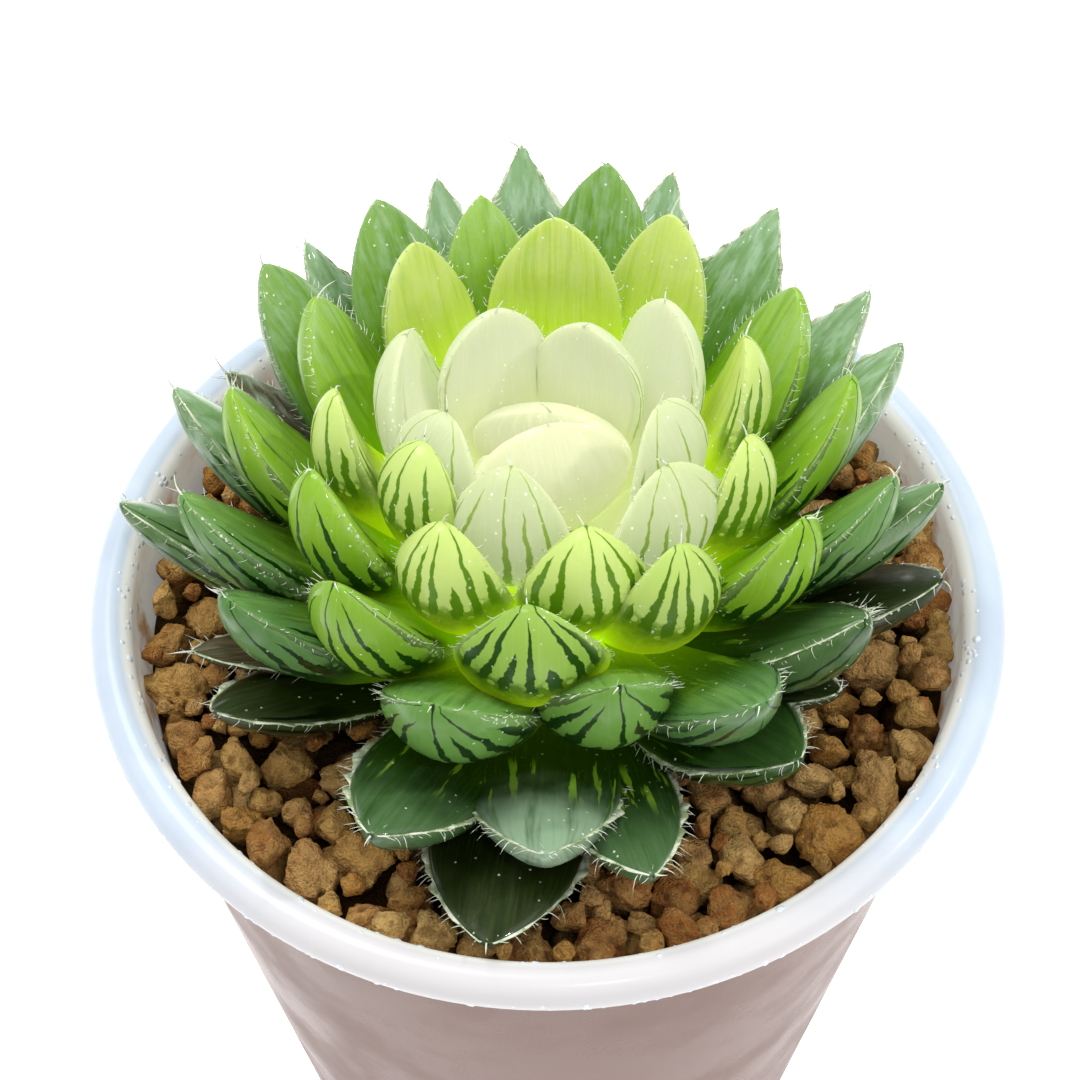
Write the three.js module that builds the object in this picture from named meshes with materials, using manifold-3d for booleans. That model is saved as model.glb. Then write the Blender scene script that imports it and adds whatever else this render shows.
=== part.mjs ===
// Potted haworthia: a rosette of thick, windowed leaves in a round plastic pot filled with clay granules.
// Millimetres, +Z up. The origin is the centre of the pot's underside, and the viewer stands at -Y.

import * as THREE from 'three';
import { mergeVertices } from 'three/addons/utils/BufferGeometryUtils.js';
import Module from 'manifold-3d';

const wasm = await Module();
wasm.setup();

// Driving dimensions

const gap = 0.3;

const potHeight = 96;
const rimRadius = 40;
const beadWidth = 3.65;
const beadHeight = 3.6;
const footRadius = 28.6;
const footRingWidth = 3;
const wall = 1.2;
const floorTop = 3;
const potSides = 44;
const drainHoles = { count: 5, radius: 2.4, circle: 15 };

const soilBelowRim = 5.8;
const granulePitch = 6.6;
const granuleRadii = [2.7, 3.5];
const granuleInnermost = 14;

const stemRadius = 5;
const stemTopRadius = 2;
const stemTopRise = 6.5;
const crownDepth = 30;
const crownTipRadius = 1.5;

// Places along a leaf from foot (0) to tip (1).
const leafRings = [0, 0.2, 0.4, 0.58, 0.74, 0.87, 0.96];
const widestAt = 0.64;
const toothedFrom = 0.4;

const awnLength = 0.4;
const nearestReach = 7;
const farthestReach = 35;
const rootedBy = 1.5;
const budHeart = { radius: 1.9, rise: 1.8 };

// How fast each kind narrows to its tip, how round the shoulders are, and how far its edge teeth stand out.
const leafKinds = {
  cream: { taper: 2.6, shoulder: 0.55, tooth: 0 },
  lime: { taper: 2.4, shoulder: 0.65, tooth: 0 },
  green: { taper: 2.1, shoulder: 0.75, tooth: 0.45 },
  outer: { taper: 1.9, shoulder: 0.85, tooth: 0.6 },
  low: { taper: 1.9, shoulder: 0.85, tooth: 0.6 },
  withered: { taper: 1.9, shoulder: 0.85, tooth: 0 },
};

// Corners round a leaf in parts of its half width and thickness: edge, inner face, edge, keel.
const leafSection = [[-1, 0], [-0.5, 0.3], [0.5, 0.3], [1, 0], [0.74, -0.46], [0.3, -0.7], [-0.3, -0.7],
  [-0.74, -0.46]];
const leafEdges = [0, 3];

// One row per leaf: azimuth from +X in degrees, reach of the tip from the axis, rise of the tip above the
// rim, width and thickness.
const leafOf = (kind) => ([azimuth, reach, rise, width, thickness]) => (
  { kind, azimuth, reach, rise, width, thickness });

const budLeaves = [
  [80, 2.6, 19, 12.5, 4.2],
  [290, 0.8, 20.4, 11.5, 4.8],
  [195, 3, 16, 7.5, 3.2],
].map(leafOf('cream'));

const leafGroups = {
  cream: [
    [66, 7, 24.4, 10, 3.6],
    [115, 8.6, 24.4, 10, 3.6],
    [198, 8, 24, 8.5, 3.6],
    [250, 8, 23.5, 9, 3.8],
    [347, 9, 24.5, 9, 3.4],
    [323, 11.5, 23, 10.5, 4],
    [152, 12.5, 24, 10.5, 3.8],
    [42, 13, 24.5, 9.5, 3.8],
  ].map(leafOf('cream')),
  lime: [
    [208, 10.6, 23.4, 8.4, 4.2],
    [283, 12.5, 22, 9.5, 4.6],
    [236, 14, 22, 8.8, 4.6],
    [347, 16, 22, 8, 4.4],
    [307, 16.5, 21, 8.6, 4.8],
    [176, 16.5, 22.5, 8, 4.4],
    [20, 17, 23, 8, 4.4],
    [265, 18, 20, 11, 5.2],
    [87, 18.5, 24, 10.5, 4.4],
    [123, 19.5, 23.5, 8.5, 4.2],
    [62, 23, 22.5, 9, 4.4],
  ].map(leafOf('lime')),
  green: [
    [197, 19, 21, 9, 4.8],
    [334, 22, 19.5, 9, 4.8],
    [223, 22, 19, 10, 5.2],
    [147, 22.5, 21.5, 9, 4.6],
    [103, 23.5, 22.5, 8, 4.2],
    [33, 25, 20.5, 9.5, 4.6],
    [12, 25.6, 18.8, 9.6, 4.6],
    [250, 25.6, 16, 11.5, 5.2],
    [170, 26, 19, 10, 4.8],
    [282.6, 23.5, 16.5, 9.5, 5],
    [352, 28, 17, 9.5, 4.6],
    [209, 28.5, 15.5, 10.5, 5],
    [303.5, 28.5, 15, 10, 5],
    [79, 30.5, 19.5, 10, 4.4],
    [119, 30, 19, 10, 4.4],
    [188, 29.5, 16, 10, 4.8],
    [141, 31, 18, 9.5, 4.4],
  ].map(leafOf('green')),
  outer: [
    [329, 29, 13.5, 9.5, 4.8],
    [53, 34.8, 16, 10, 4.4],
    [20, 32, 16.5, 9, 4.4],
    [356, 32.3, 14, 8.5, 4.4],
    [33, 33.8, 15, 8.5, 3.8],
    [70, 34.6, 16, 8.5, 4],
    [93, 35.3, 17, 9.5, 4.2],
    [107, 32.5, 17, 7.5, 3.4],
    [130, 33, 15, 7.5, 3.2],
    [166, 32, 15.5, 8.5, 4.2],
    [182, 35.3, 11.5, 8.5, 4.2],
    [269, 32.3, 8, 11, 4.8],
    [246, 33.4, 8, 10.5, 4.8],
    [283, 34, 6, 8.6, 4.4],
    [309, 30.7, 7, 10.5, 4.6],
  ].map(leafOf('outer')),
  low: [
    [262, 35.6, 0.5, 11.5, 4],
    [211, 32, 3.5, 9.5, 3.6],
    [349, 33.4, 6.5, 8.5, 3.6],
    [327, 28.3, 3.5, 7.5, 2.8],
  ].map(leafOf('low')),
};

const witheredLeaves = [
  [198, 31.5, 2.5, 8, 1.8],
  [150, 33, 8, 8, 1.8],
  [48, 31, 4, 8, 1.8],
  [75, 31, 2.5, 8, 1.8],
  [118, 30, 3, 8, 1.8],
].map(leafOf('withered'));

const looks = {
  pot: new THREE.MeshStandardMaterial({ color: 0xe9edf0, roughness: 0.35, metalness: 0 }),
  soil: new THREE.MeshStandardMaterial({ color: 0xa9743c, roughness: 0.95, metalness: 0 }),
  stem: new THREE.MeshStandardMaterial({ color: 0x8f9a5c, roughness: 0.8, metalness: 0 }),
  cream: new THREE.MeshStandardMaterial({ color: 0xf1f3cf, roughness: 0.4, metalness: 0 }),
  lime: new THREE.MeshStandardMaterial({ color: 0xa9cf3f, roughness: 0.4, metalness: 0 }),
  green: new THREE.MeshStandardMaterial({ color: 0x5f9a3a, roughness: 0.35, metalness: 0 }),
  outer: new THREE.MeshStandardMaterial({ color: 0x33643a, roughness: 0.35, metalness: 0 }),
  low: new THREE.MeshStandardMaterial({ color: 0x274a32, roughness: 0.4, metalness: 0 }),
};

// Solids, joins and cuts

function bare(geometry) {
  geometry.deleteAttribute('normal');
  geometry.deleteAttribute('uv');
  return mergeVertices(geometry, 1e-4);
}

function solidFrom(positions, corners) {
  const triVerts = [];
  for (let i = 0; i < corners.length; i += 3) {
    const [a, b, c] = corners.slice(i, i + 3);
    if (a !== b && b !== c && c !== a) triVerts.push(a, b, c);
  }
  const vertProperties = new Float32Array(positions);
  const mesh = new wasm.Mesh({ numProp: 3, vertProperties, triVerts: new Uint32Array(triVerts) });
  return new wasm.Manifold(mesh);
}

function solidOf(geometry) {
  const merged = bare(geometry);
  return solidFrom(merged.attributes.position.array, Array.from(merged.index.array));
}

function meshOf(name, solid, material) {
  const { vertProperties, triVerts } = solid.getMesh();
  const geometry = new THREE.BufferGeometry();
  geometry.setAttribute('position', new THREE.BufferAttribute(vertProperties, 3));
  geometry.setIndex(new THREE.BufferAttribute(triVerts, 1));
  geometry.computeVertexNormals();
  const mesh = new THREE.Mesh(geometry, material);
  mesh.name = name;
  return mesh;
}

function lathe(profile, sides) {
  const geometry = new THREE.LatheGeometry(profile.map(([r, z]) => new THREE.Vector2(r, z)), sides);
  geometry.rotateX(Math.PI / 2);
  return solidOf(geometry);
}

function largestPiece(solid) {
  return solid.decompose().reduce((best, piece) => (piece.volume() > best.volume() ? piece : best));
}

function outward(azimuth) {
  const angle = THREE.MathUtils.degToRad(azimuth);
  return new THREE.Vector3(Math.cos(angle), Math.sin(angle), 0);
}

let seed = 7;

function between(low, high) {
  seed = (seed * 1664525 + 1013904223) % 4294967296;
  return low + ((high - low) * seed) / 4294967296;
}

// Pot: a thin tapering wall, a rolled rim and a recessed base with drain holes

const rimZ = potHeight;
const wallTop = potHeight - beadHeight;
const wallOuter = (z) => THREE.MathUtils.lerp(footRadius, rimRadius - beadWidth + wall, z / wallTop);
const wallInner = (z) => wallOuter(z) - wall;

function buildPot() {
  const underside = floorTop / 2;
  const bead = [];
  for (let i = 0; i <= 5; i += 1) {
    const angle = THREE.MathUtils.degToRad(45 * (i - 1));
    bead.push([
      rimRadius - (beadWidth / 2) * (1 - Math.cos(angle)),
      rimZ - (beadHeight / 2) * (1 - Math.sin(angle)),
    ]);
  }
  let pot = lathe([
    [0, underside],
    [footRadius - footRingWidth - 1, underside],
    [footRadius - footRingWidth, 0],
    [footRadius - 0.5, 0],
    [wallOuter(0.5), 0.5],
    [wallOuter(wallTop), wallTop],
    ...bead,
    [wallInner(floorTop + 1), floorTop + 1],
    [wallInner(floorTop) - 1, floorTop],
    [0, floorTop],
  ], potSides);
  for (let i = 0; i < drainHoles.count; i += 1) {
    const hole = new THREE.CylinderGeometry(drainHoles.radius, drainHoles.radius, 4 * floorTop, 12);
    hole.rotateX(Math.PI / 2);
    const at = outward((360 * i) / drainHoles.count).multiplyScalar(drainHoles.circle);
    hole.translate(at.x, at.y, 0);
    pot = pot.subtract(solidOf(hole));
  }
  return pot;
}

// Stem with its root crown. Grown by the gap, the same shape cuts the plain hole it stands in.

const soilTop = rimZ - soilBelowRim;
const stemTop = rimZ + stemTopRise;
const stemRadiusAt = (z) => THREE.MathUtils.mapLinear(z, soilTop, stemTop, stemRadius, stemTopRadius);

function stemCore(grow) {
  return lathe([
    [0, soilTop - crownDepth - grow],
    [crownTipRadius + grow, soilTop - crownDepth - grow],
    [stemRadius + grow, soilTop - stemRadius],
    [stemRadius + grow, soilTop],
    [stemTopRadius + grow, stemTop + grow],
    [0, stemTop + grow],
  ], 12);
}

// Leaves. Each is lofted along a curve that leaves the stem low and turns up to its tip. Outer leaves start
// lower on the stem and lie flatter, bud leaves stand on its top, and withered leaves are rooted in it.

function leafCurve({ kind, azimuth, reach, rise }) {
  const out = outward(azimuth);
  const onTop = reach < nearestReach;
  const clearance = kind === 'withered' ? -rootedBy : 2 * gap;
  const far = THREE.MathUtils.clamp((reach - nearestReach) / (farthestReach - nearestReach), 0, 1);
  const footZ = onTop ? stemTop + gap : THREE.MathUtils.lerp(stemTop - 1, soilTop + 0.8, far ** 1.3);
  const footRadius = onTop ? 0.3 * reach : stemRadiusAt(footZ) + clearance;
  const foot = out.clone().multiplyScalar(footRadius).setZ(footZ);
  const tip = out.clone().multiplyScalar(reach).setZ(rimZ + rise);
  const slope = Math.atan2(tip.z - foot.z, reach - footRadius);
  const footSlope = slope * (0.7 - 0.42 * far);
  const curl = THREE.MathUtils.degToRad(12 + 22 * (1 - far ** 2)) * Math.min(1, reach / nearestReach);
  const tipSlope = slope + curl;
  const pull = 0.36 * foot.distanceTo(tip);
  const heading = (angle) => out.clone().multiplyScalar(Math.cos(angle)).setZ(Math.sin(angle));
  return new THREE.CubicBezierCurve3(
    foot,
    foot.clone().addScaledVector(heading(footSlope), pull),
    tip.clone().addScaledVector(heading(tipSlope), -pull),
    tip,
  );
}

function leafWidthAt(t, { taper, shoulder }) {
  if (t < widestAt) return THREE.MathUtils.lerp(0.3, 1, Math.sin((Math.PI / 2) * (t / widestAt)));
  return (1 - ((t - widestAt) / (1 - widestAt)) ** taper) ** shoulder;
}

function leafThicknessAt(t) {
  if (t < widestAt) return THREE.MathUtils.lerp(0.2, 1, Math.sin((Math.PI / 2) * (t / widestAt)) ** 1.5);
  return (1 - ((t - widestAt) / (1 - widestAt)) ** 2.4) ** 0.7;
}

function fan([first, ...others]) {
  return others.slice(1).flatMap((corner, i) => [first, others[i], corner]);
}

function leafSolid(leaf, grow = 0) {
  const { azimuth, width, thickness } = leaf;
  const shape = leafKinds[leaf.kind];
  const curve = leafCurve(leaf);
  const side = outward(azimuth + 90);
  const positions = [];
  const triangles = [];
  const add = (point) => positions.push(point.x, point.y, point.z) / 3 - 1;
  const place = (t, across, up) => {
    const face = new THREE.Vector3().crossVectors(curve.getTangent(t), side).normalize();
    return add(curve.getPoint(t).addScaledVector(side, across).addScaledVector(face, up));
  };
  const edgeAt = (t) => (leafWidthAt(t, shape) * width) / 2 + grow;
  const ringAt = (t) => leafSection.map(([across, up]) => (
    place(t, across * edgeAt(t), up * leafThicknessAt(t) * thickness + Math.sign(up) * grow)
  ));
  const rings = leafRings.map(ringAt);
  const foot = add(curve.getPoint(0).addScaledVector(curve.getTangent(0), -grow));
  const tip = add(curve.getPoint(1).addScaledVector(curve.getTangent(1), awnLength + grow));

  for (let i = 0; i + 1 < rings.length; i += 1) {
    const [low, high] = [rings[i], rings[i + 1]];
    const middle = (leafRings[i] + leafRings[i + 1]) / 2;
    const tooth = {};
    if (shape.tooth && middle > toothedFrom) {
      for (const j of leafEdges) {
        tooth[j] = place(middle, leafSection[j][0] * (edgeAt(middle) + shape.tooth), 0);
      }
    }
    for (let j = 0; j < low.length; j += 1) {
      const k = (j + 1) % low.length;
      if (tooth[j] !== undefined) triangles.push(...fan([tooth[j], high[j], high[k], low[k], low[j]]));
      else if (tooth[k] !== undefined) triangles.push(...fan([tooth[k], low[k], low[j], high[j], high[k]]));
      else triangles.push(...fan([low[j], high[j], high[k], low[k]]));
    }
  }
  const first = rings[0];
  const last = rings[rings.length - 1];
  for (let j = 0; j < first.length; j += 1) {
    const k = (j + 1) % first.length;
    triangles.push(foot, first[j], first[k], tip, last[k], last[j]);
  }
  return solidFrom(positions, triangles);
}

// Bud: the three youngest leaves, closed round each other and grown together at the foot

function budSolid(grow = 0) {
  const heart = new THREE.SphereGeometry(budHeart.radius + grow, 8, 5);
  heart.translate(0, 0, stemTop + budHeart.rise + 2 * gap);
  return wasm.Manifold.union([...budLeaves.map((leaf) => leafSolid(leaf, grow)), solidOf(heart)]);
}

// Soil: one filling with granules standing out of its top

function granule(x, y, radius) {
  const merged = bare(new THREE.IcosahedronGeometry(radius, 0));
  const corner = new THREE.Vector3();
  for (let i = 0; i < merged.attributes.position.count; i += 1) {
    corner.fromBufferAttribute(merged.attributes.position, i).multiplyScalar(between(0.85, 1.1));
    merged.attributes.position.setXYZ(i, corner.x, corner.y, 0.85 * corner.z);
  }
  merged.rotateZ(between(0, 2 * Math.PI));
  merged.translate(x, y, soilTop + between(0.2, 0.5) * radius);
  return solidOf(merged);
}

function buildSoil() {
  const bottom = floorTop + gap;
  const inside = (z) => wallInner(z) - gap;
  const filling = lathe([[0, bottom], [inside(bottom) - 1, bottom], [inside(bottom + 1), bottom + 1],
    [inside(soilTop), soilTop], [0, soilTop]], potSides);
  const granules = [];
  const room = inside(soilTop);
  for (let ring = room - granuleRadii[0]; ring > granuleInnermost; ring -= granulePitch) {
    const count = Math.floor((2 * Math.PI * ring) / granulePitch);
    for (let i = 0; i < count; i += 1) {
      const angle = (2 * Math.PI * (i + between(-0.15, 0.15))) / count;
      const radius = between(...granuleRadii);
      const away = Math.min(ring + between(-0.5, 0.5), room - 1.15 * radius);
      let placed = granule(away * Math.cos(angle), away * Math.sin(angle), radius);
      for (let sink = 0; sink < 4 && touches(placed); sink += 1) placed = placed.translate([0, 0, -1]);
      if (!touches(placed)) granules.push(placed);
    }
  }
  return largestPiece(pressed(wasm.Manifold.union([filling, ...granules])));
}

// Room already taken. Each piece is kept with a copy grown by the gap, which later pieces are cut with.

const taken = [];

function neighbours(solid) {
  const box = solid.boundingBox();
  return taken.filter((other) => other.box.min.every((low, axis) => low < box.max[axis])
    && other.box.max.every((high, axis) => high > box.min[axis])).map(({ cutter }) => cutter);
}

function touches(solid) {
  return neighbours(solid).some((cutter) => cutter.intersect(solid).volume() > 0);
}

function pressed(solid) {
  const cutters = neighbours(solid).filter((cutter) => cutter.intersect(solid).volume() > 0);
  return cutters.length ? largestPiece(solid.subtract(wasm.Manifold.union(cutters))) : solid;
}

function take(cutter) {
  taken.push({ cutter, box: cutter.boundingBox() });
}

// Assembly. Younger leaves keep their shape and the older ones give way to them.

const model = new THREE.Group();

take(stemCore(gap));
model.add(meshOf('bud', pressed(budSolid()), looks.cream));
take(budSolid(gap));

for (const [kind, leaves] of Object.entries(leafGroups)) {
  leaves.forEach((leaf, i) => {
    model.add(meshOf(`${kind}_leaf_${i + 1}`, pressed(leafSolid(leaf)), looks[kind]));
    take(leafSolid(leaf, gap));
  });
}

const leafCutters = wasm.Manifold.union(taken.slice(1).map(({ cutter }) => cutter));
const withered = witheredLeaves.map((leaf) => leafSolid(leaf).subtract(leafCutters));
model.add(meshOf('stem', largestPiece(wasm.Manifold.union([stemCore(0), ...withered])), looks.stem));
witheredLeaves.forEach((leaf) => take(leafSolid(leaf, gap)));

model.add(meshOf('pot', buildPot(), looks.pot));
model.add(meshOf('soil', buildSoil(), looks.soil));

export default model;
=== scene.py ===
"""Potted haworthia: finer leaves, clay granules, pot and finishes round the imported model.

Sizes below are millimetres and become metres as each mesh is made. +Z is up and the viewer stands at -Y.
"""

import math
import random

import bmesh
import bpy
from mathutils import Matrix, Vector, noise


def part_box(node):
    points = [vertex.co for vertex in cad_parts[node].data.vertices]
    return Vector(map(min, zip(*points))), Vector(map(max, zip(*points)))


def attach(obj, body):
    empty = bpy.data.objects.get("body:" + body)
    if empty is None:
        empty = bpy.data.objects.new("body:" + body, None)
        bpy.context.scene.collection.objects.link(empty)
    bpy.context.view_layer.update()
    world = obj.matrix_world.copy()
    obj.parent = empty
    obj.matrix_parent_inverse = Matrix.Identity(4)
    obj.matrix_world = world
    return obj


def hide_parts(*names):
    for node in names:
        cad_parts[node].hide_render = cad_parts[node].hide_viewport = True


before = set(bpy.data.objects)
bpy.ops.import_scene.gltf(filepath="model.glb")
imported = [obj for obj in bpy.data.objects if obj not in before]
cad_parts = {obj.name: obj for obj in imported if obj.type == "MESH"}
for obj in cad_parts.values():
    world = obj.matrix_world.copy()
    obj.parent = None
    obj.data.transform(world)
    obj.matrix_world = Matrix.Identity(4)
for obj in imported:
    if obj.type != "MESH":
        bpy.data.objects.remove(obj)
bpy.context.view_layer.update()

MM = 0.001

# Driving dimensions, the same as the solids'

RIM_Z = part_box("pot")[1].z / MM
RIM_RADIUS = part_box("pot")[1].x / MM
BEAD_WIDTH = 3.65
BEAD_HEIGHT = 3.6
FOOT_RADIUS = 28.6
FOOT_RING = 3.0
WALL = 1.2
FLOOR_TOP = 3.0
WALL_TOP = RIM_Z - BEAD_HEIGHT
DRAIN_HOLES, DRAIN_RADIUS, DRAIN_CIRCLE = 5, 2.4, 15.0

GAP = 0.3
SOIL_TOP = RIM_Z - 5.8
STEM_TOP = RIM_Z + 6.5
STEM_RADIUS = 5.0
STEM_TOP_RADIUS = 2.0
CROWN_DEPTH = 30.0
CROWN_TIP_RADIUS = 1.5

# Each row is azimuth, reach of the tip, rise of the tip above the rim, width and thickness of one leaf.

LEAVES = {
    "cream": [
        (64, 7, 24.2, 9, 3.6), (117, 8.6, 24.6, 9.4, 3.6), (198, 8, 24, 9, 3.6), (250, 8, 23.8, 9, 3.8),
        (347, 9, 24.5, 9, 3.4), (323, 11.5, 23, 10.5, 4), (152, 12.5, 24, 10.5, 3.8),
        (42, 13, 24.5, 9.5, 3.8),
    ],
    "lime": [
        (208, 10.6, 23.4, 8.4, 4.2), (283, 12.5, 22, 9.5, 4.6), (236, 14, 22, 8.8, 4.6),
        (347, 16, 22, 8, 4.4), (307, 16.5, 21, 8.6, 4.8), (176, 16.5, 22.5, 8, 4.4),
        (20, 17, 23, 8, 4.4), (265, 18, 20, 11, 5.2), (87, 18.5, 24, 10.5, 4.4),
        (123, 19.5, 23.5, 8.5, 4.2), (62, 23, 22.5, 9, 4.4),
    ],
    "green": [
        (197, 19, 21, 9, 4.8), (334, 22, 19.5, 9, 4.8), (223, 22, 19, 10, 5.2),
        (147, 22.5, 21.5, 9, 4.6), (103, 23.5, 22.5, 8, 4.2), (33, 25, 20.5, 9.5, 4.6),
        (12, 25.6, 18.8, 9.6, 4.6), (250, 25.6, 16, 11.5, 5.8), (170, 26, 19, 10, 4.8),
        (282.6, 23.5, 16.5, 10.2, 5.8), (352, 28, 17, 9.5, 4.6), (209, 28.5, 15.5, 10.5, 5),
        (303.5, 28.5, 15, 10, 5), (79, 30.5, 19.5, 10, 4.4), (119, 30, 19, 10, 4.4),
        (188, 29.5, 16, 10, 4.8), (141, 31, 18, 9.5, 4.4),
    ],
    "outer": [
        (329, 29, 13.5, 10.6, 5.4), (53, 34.8, 16, 10, 4.4), (20, 32, 16.5, 9, 4.4),
        (356, 32.3, 14, 8.5, 4.4), (33, 33.8, 15, 8.5, 3.8), (70, 34.6, 16, 8.5, 4),
        (93, 35.3, 17, 9.5, 4.2), (107, 32.5, 17, 7.5, 3.4), (130, 33, 15, 7.5, 3.2),
        (166, 32, 15.5, 8.5, 4.2), (182, 35.3, 11.5, 8.5, 4.2), (269, 32.3, 8, 11, 4.8),
        (246, 33.4, 8, 10.5, 4.8), (283, 34, 6, 8.6, 4.4), (309, 30.7, 7, 10.5, 4.6),
    ],
    "low": [
        (262, 36.5, 0.9, 11.5, 4), (211, 32, 3.5, 9.5, 3.6), (349, 33.4, 6.5, 11, 4.2),
        (327, 28.3, 3.5, 7.5, 2.8),
    ],
}
BUD_LEAVES = [(80, 2.6, 18.4, 12, 4), (290, 0.6, 20.4, 11.6, 5), (195, 3, 15.6, 7.5, 3.4)]
WITHERED_LEAVES = [
    (198, 31.5, 2.5, 8, 1.8), (150, 33, 8, 8, 1.8), (48, 31, 4, 8, 1.8), (75, 31, 2.5, 8, 1.8),
    (118, 30, 3, 8, 1.8),
]

# Point is the extra height of the drawn-out tip, and middle the reach of the kind's middle leaf. Taper and
# shoulder shape the outline towards the tip, and bulge is how far the inner face swells. Hair, spacing,
# tangle and curl are the hairs on the margins and at the tip, and hem is the width of the margins' dry skin.

KINDS = {
    "bud": dict(point=0.0, middle=2, taper=2.2, shoulder=0.66, bulge=0.4, tangle=1, curl=1.6),
    "cream": dict(point=0.3, middle=9.5, taper=2.2, shoulder=0.7, bulge=0.24,
                  hair=0.35, spacing=1.2, tangle=1, curl=1.9, hem=0.0),
    "lime": dict(point=0.6, middle=16, taper=2.2, shoulder=0.74, bulge=0.24,
                 hair=0.5, spacing=0.8, tangle=1, curl=2.3, hem=0.0),
    "green": dict(point=0.5, middle=25, taper=2.2, shoulder=0.8, bulge=0.3,
                  hair=0.85, spacing=0.6, tangle=3, curl=2.2, hem=0.0),
    "outer": dict(point=0.4, middle=32, taper=2.1, shoulder=0.92, bulge=0.34,
                  hair=1.1, spacing=0.5, tangle=6, curl=2.4, hem=0.55),
    "low": dict(point=0.3, middle=32, taper=2.2, shoulder=0.85, bulge=0.34,
                hair=1.0, spacing=0.6, tangle=4, curl=1.8, hem=0.55),
    "withered": dict(point=0.0, middle=32, taper=1.9, shoulder=0.9, bulge=0.34,
                     hair=1.3, spacing=0.9, tangle=5, curl=2.8, hem=0.4),
}

# The curve of a leaf. Leaves below the nearest reach stand on the stem's top, and farther ones leave it
# lower, start flatter and curl up less. Curls are degrees.

NEAREST_REACH = 7.0
FARTHEST_REACH = 35.0
ROOTED_BY = 1.5
TOP_SPREAD = 0.3
FOOT_ABOVE_SOIL = 0.8
FOOT_BELOW_TOP = 1.0
FAR_CURL, NEAR_CURL = 12, 22
FOOT_SLOPE, FOOT_FLATTER = 0.7, 0.42
PULL = 0.36

# The rosette has grown towards light behind it: its leaves lean and roll over that way.

LIGHTWARD = Vector((0, 1, 0))
LEAN_FRONT = 0.38
LEAN_FAR_FRONT = -0.05
LEAN_FLAT = -0.2
LEAN_BACK = 0.36
ROLL_OVER = 0.42
SIDE_ROLL = 0.2

# The body of a leaf: section is the power that sharpens its margins and keel.

WIDEST_AT = 0.64
SECTION = 1.1
BROADER = 1.12
KEEL_DEPTH = 0.82
BLUNT_SIDES = 0.13
LEAF_RINGS = 34
LEAF_SIDES = 28
HAIR_RADIUS = 0.05
BRISTLE_RADIUS = 0.12
BRISTLE_STEPS = 6
HEM_STEPS = 44
FAR_GREEN = 27.5

# Random seeds of the leaves, the bud, the withered leaves, the drops and the granules

LEAF_SEED, BUD_SEED, WITHERED_SEED, DROP_SEED, GRANULE_SEED = 11, 23, 31, 47, 5

# Places of the materials in a leaf and in the stem

SKIN, HAIR, PAPER, BARK = range(4)


# Meshes

def clamp(value, low=0.0, high=1.0):
    return min(max(value, low), high)


def lerp(start, end, share):
    return start + (end - start) * share


def smoothstep(low, high, value):
    share = clamp((value - low) / (high - low))
    return share * share * (3 - 2 * share)


def outward(azimuth):
    angle = math.radians(azimuth)
    return Vector((math.cos(angle), math.sin(angle), 0))


def put_in_scene(name, data):
    thing = bpy.data.objects.new(name, data)
    bpy.context.scene.collection.objects.link(thing)
    return thing


class Shape:
    """Vertices in millimetres, faces with their material's place, and values kept on the vertices."""

    def __init__(self):
        self.points = []
        self.faces = []
        self.finishes = []
        self.places = []
        self.builds = []

    def add(self, point, place=(0, 0, 0), build=(0, 0, 0)):
        self.points.append(Vector(point))
        self.places.append(place)
        self.builds.append(build)
        return len(self.points) - 1

    def face(self, corners, finish=0):
        self.faces.append(tuple(corners))
        self.finishes.append(finish)

    def faces_of_ball(self, start, faces):
        for corners in faces:
            self.face([start + corner for corner in corners])

    def join_rings(self, low, high, finish=0):
        for i in range(len(low)):
            k = (i + 1) % len(low)
            self.face((low[i], low[k], high[k], high[i]), finish)

    def cap(self, ring, centre, finish=0):
        for i in range(len(ring)):
            self.face((ring[i], ring[(i + 1) % len(ring)], centre), finish)

    def mesh(self, name):
        mesh = bpy.data.meshes.new(name)
        mesh.from_pydata([point * MM for point in self.points], [], self.faces)
        return mesh

    def piece(self, name, slot, *materials, replaces=()):
        mesh = self.mesh(name)
        for material in materials:
            mesh.materials.append(material)
        mesh.polygons.foreach_set("material_index", self.finishes)
        mesh.polygons.foreach_set("use_smooth", [True] * len(self.faces))
        for attribute, values in (("place", self.places), ("build", self.builds)):
            flat = [number for value in values for number in value]
            mesh.attributes.new(attribute, "FLOAT_VECTOR", "POINT").data.foreach_set("vector", flat)
        shell = bmesh.new()
        shell.from_mesh(mesh)
        bmesh.ops.recalc_face_normals(shell, faces=shell.faces)
        shell.to_mesh(mesh)
        shell.free()
        piece = put_in_scene(name, mesh)
        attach(piece, "root")
        if replaces:
            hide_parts(*replaces)
        return piece


def tapered_strand(shape, points, radii, sides):
    """A hair along points: a thin round strand that is closed at its root and ends in a point."""
    rings = []
    for i, (point, radius) in enumerate(zip(points[:-1], radii)):
        ahead = points[i + 1] - points[max(i - 1, 0)]
        across = ahead.orthogonal().normalized()
        other = ahead.cross(across).normalized()
        ring = []
        for k in range(sides):
            angle = 2 * math.pi * k / sides
            offset = across * (radius * math.cos(angle)) + other * (radius * math.sin(angle))
            ring.append(shape.add(point + offset, (0, i / len(points), 0)))
        rings.append(ring)
    end = shape.add(points[-1], (0, 1, 0))
    for low, high in zip(rings, rings[1:]):
        shape.join_rings(low, high, HAIR)
    shape.cap(rings[-1], end, HAIR)
    shape.face(reversed(rings[0]), HAIR)


# Leaves

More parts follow.
